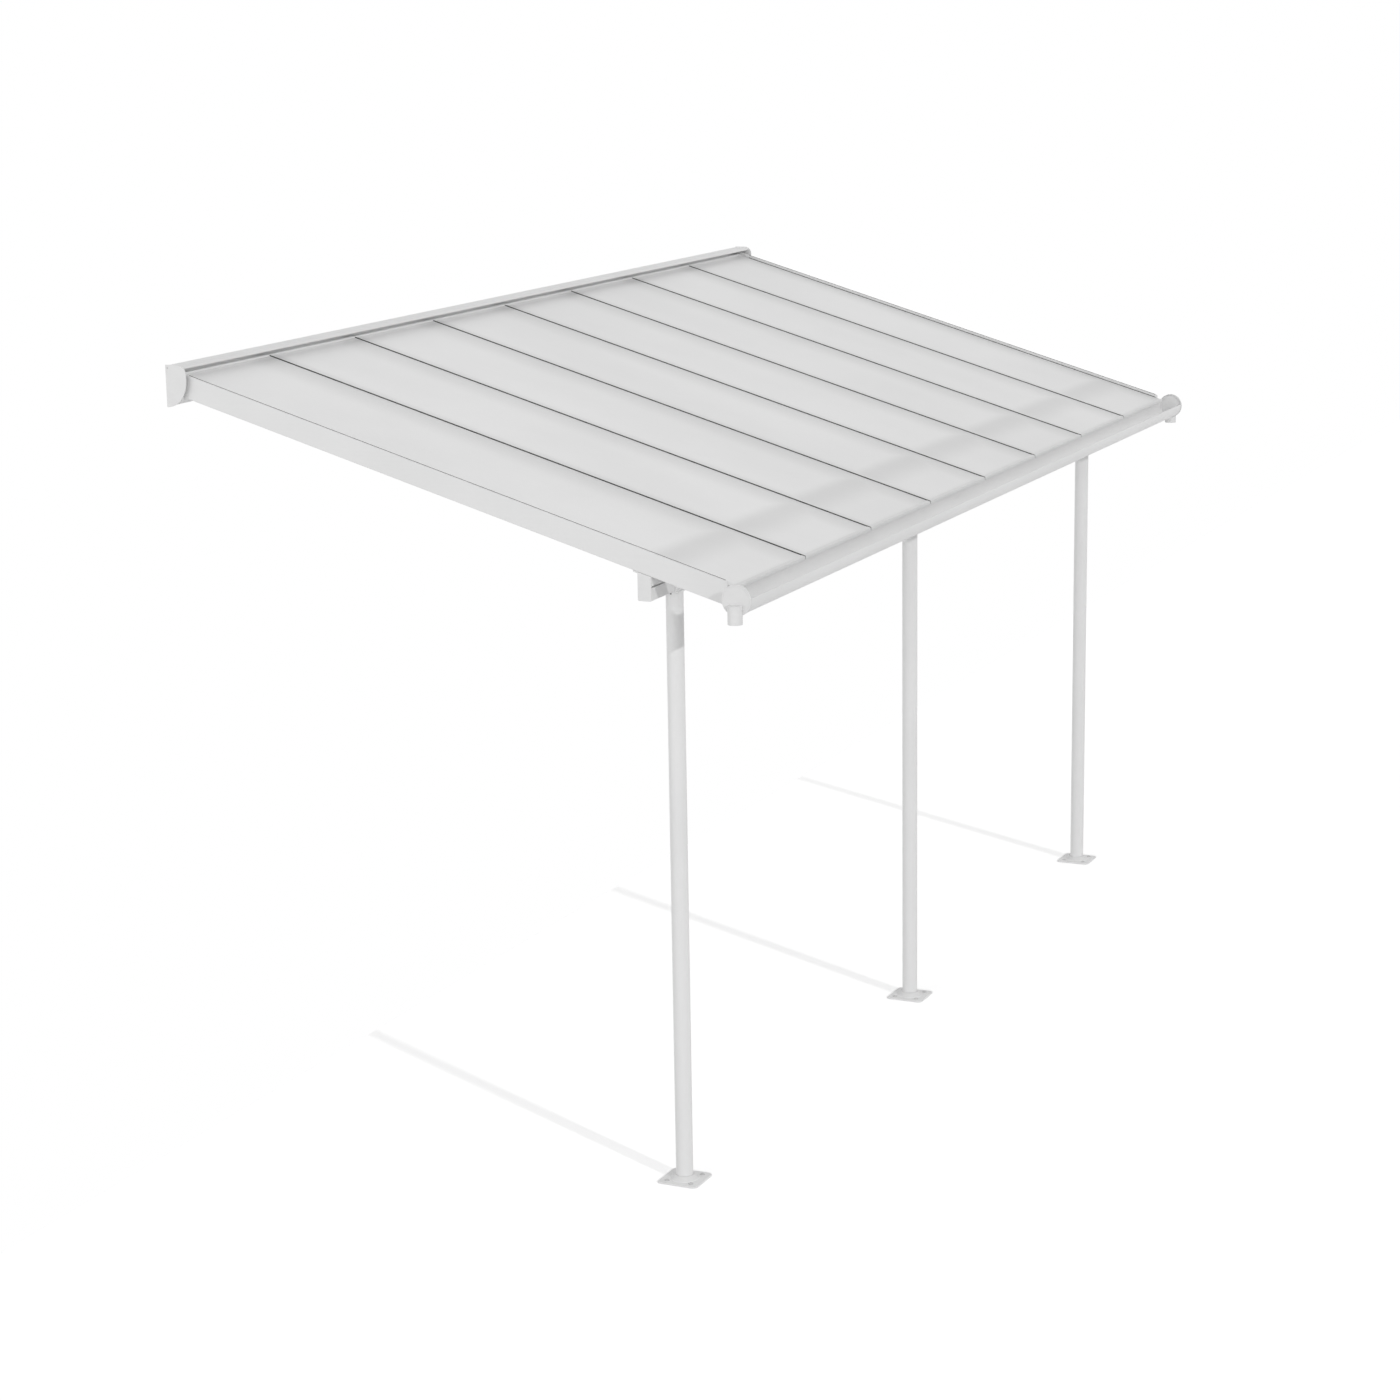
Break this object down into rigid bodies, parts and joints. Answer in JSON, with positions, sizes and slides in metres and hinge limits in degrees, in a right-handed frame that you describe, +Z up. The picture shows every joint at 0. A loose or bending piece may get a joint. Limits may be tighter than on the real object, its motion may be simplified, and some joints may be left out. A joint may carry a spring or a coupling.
{
  "type": "attached patio cover",
  "caption": "Lean-to patio cover with opal roof sheets between a wall profile and a round gutter, carried by rafters, a cross beam and slim round posts on square feet.",
  "frame": {"origin": "middle of the wall profile's flat back face, which fixes to the house wall", "axes": "+X runs along the wall, +Y points into the wall, +Z up; the ground is 2.5878 m below the origin"},
  "size_m": [4.715, 2.0947, 2.6575],
  "materials": {
    "wall_profile_white": "white powder coat, satin",
    "side_beam_white": "white powder coat, satin",
    "rafter_white": "white powder coat, satin",
    "cross_beam_white": "white powder coat, satin",
    "post_white": "white powder coat, satin",
    "gutter_white": "white powder coat, satin",
    "bracket_white": "white powder coat, satin",
    "cap_white_plastic": "white moulded plastic",
    "spout_white_plastic": "white moulded plastic",
    "sheet_opal": "opal translucent multiwall sheet"
  },
  "bodies": {
    "root": {"wall_profile": "wall_profile_white", "wall_profile_end_cap_left": "cap_white_plastic", "wall_profile_end_cap_right": "cap_white_plastic", "side_beam_left": "side_beam_white", "side_beam_right": "side_beam_white", "rafter_1": "rafter_white", "rafter_2": "rafter_white", "rafter_3": "rafter_white", "rafter_4": "rafter_white", "rafter_5": "rafter_white", "rafter_6": "rafter_white", "rafter_7": "rafter_white", "roof_sheet_1": "sheet_opal", "roof_sheet_2": "sheet_opal", "roof_sheet_3": "sheet_opal", "roof_sheet_4": "sheet_opal", "roof_sheet_5": "sheet_opal", "roof_sheet_6": "sheet_opal", "roof_sheet_7": "sheet_opal", "roof_sheet_8": "sheet_opal", "gutter": "gutter_white", "gutter_end_cap_left": "cap_white_plastic", "gutter_end_cap_right": "cap_white_plastic", "drain_spout_left": "spout_white_plastic", "drain_spout_right": "spout_white_plastic", "cross_beam": "cross_beam_white", "cross_beam_end_cap_left": "cap_white_plastic", "cross_beam_end_cap_right": "cap_white_plastic", "post_1": "post_white", "post_2": "post_white", "post_3": "post_white", "post_foot_1": "bracket_white", "post_foot_2": "bracket_white", "post_foot_3": "bracket_white", "post_top_bracket_1": "bracket_white", "post_top_bracket_2": "bracket_white", "post_top_bracket_3": "bracket_white"}
  },
  "joints": []
}
